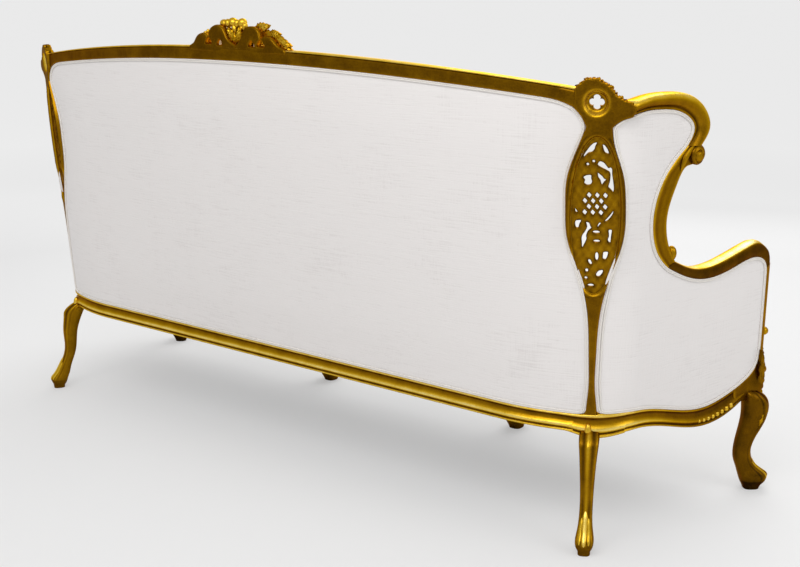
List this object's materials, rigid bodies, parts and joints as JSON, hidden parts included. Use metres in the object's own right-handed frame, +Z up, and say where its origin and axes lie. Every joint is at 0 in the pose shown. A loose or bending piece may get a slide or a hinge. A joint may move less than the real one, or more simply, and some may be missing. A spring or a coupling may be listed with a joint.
{
  "type": "baroque sofa",
  "caption": "Three-seat baroque sofa with a bowed winged back, carved gilded wood frame on cabriole legs, pierced oval corner posts, ivory linen panels with piping and loose seat cushions.",
  "frame": {"origin": "on the floor, under the centre of the sofa's bounding box", "axes": "+X to the sitter's left along the length, +Y to the back, +Z up"},
  "size_m": [2.3278, 0.797, 1.2089],
  "materials": {
    "gilded_wood": "antique gold leaf over carved beech, toned dark in the recesses and rubbed bright on the edges",
    "raw_beech": "bare sawn beech",
    "ivory_linen": "ivory slub linen, fine horizontal weave, over foam",
    "cream_piping": "cream covered double piping",
    "jute_webbing": "woven jute strap",
    "dust_cloth": "thin black lining cloth",
    "screw_steel": "plain steel wood screws"
  },
  "bodies": {
    "sofa_frame": {"rear_leg_left": "gilded_wood", "rear_leg_right": "gilded_wood", "front_corner_leg_left": "gilded_wood", "front_corner_leg_right": "gilded_wood", "front_middle_leg_left": "gilded_wood", "front_middle_leg_right": "gilded_wood", "corner_post_left": "gilded_wood", "corner_post_right": "gilded_wood", "post_splat_left": "gilded_wood", "post_splat_right": "gilded_wood", "wing_rail_left": "gilded_wood", "wing_rail_right": "gilded_wood", "wing_scroll_left": "gilded_wood", "wing_scroll_right": "gilded_wood", "arm_rail_left": "gilded_wood", "arm_rail_right": "gilded_wood", "arm_stump_left": "gilded_wood", "arm_stump_right": "gilded_wood", "side_seat_rail_left": "gilded_wood", "side_seat_rail_right": "gilded_wood", "rear_seat_rail": "gilded_wood", "front_seat_rail": "gilded_wood", "back_top_rail": "gilded_wood", "crest_carving": "gilded_wood", "seat_cross_rails": "raw_beech", "corner_blocks": "raw_beech", "frame_dowels": "raw_beech", "back_uprights": "raw_beech", "back_stay_rails": "raw_beech", "side_stay_rail_left": "raw_beech", "side_stay_rail_right": "raw_beech", "block_screws": "screw_steel", "seat_webbing": "jute_webbing", "back_webbing": "jute_webbing", "seat_platform": "ivory_linen", "inside_back_pad": "ivory_linen", "inside_side_pad_left": "ivory_linen", "inside_side_pad_right": "ivory_linen", "outside_back_panel": "ivory_linen", "outside_side_panel_left": "ivory_linen", "outside_side_panel_right": "ivory_linen", "back_piping": "cream_piping", "side_piping_left": "cream_piping", "side_piping_right": "cream_piping", "dust_cover": "dust_cloth"},
    "left_squab": {"seat_cushion_left": "ivory_linen"},
    "centre_squab": {"seat_cushion_centre": "ivory_linen"},
    "right_squab": {"seat_cushion_right": "ivory_linen"}
  },
  "joints": [
    {"name": "left_squab_lift", "type": "slide", "parent": "sofa_frame", "child": "left_squab", "axis": [0, 0, 1], "range_m": [0, 0.34]},
    {"name": "centre_squab_lift", "type": "slide", "parent": "sofa_frame", "child": "centre_squab", "axis": [0, 0, 1], "range_m": [0, 0.34]},
    {"name": "right_squab_lift", "type": "slide", "parent": "sofa_frame", "child": "right_squab", "axis": [0, 0, 1], "range_m": [0, 0.34]}
  ]
}
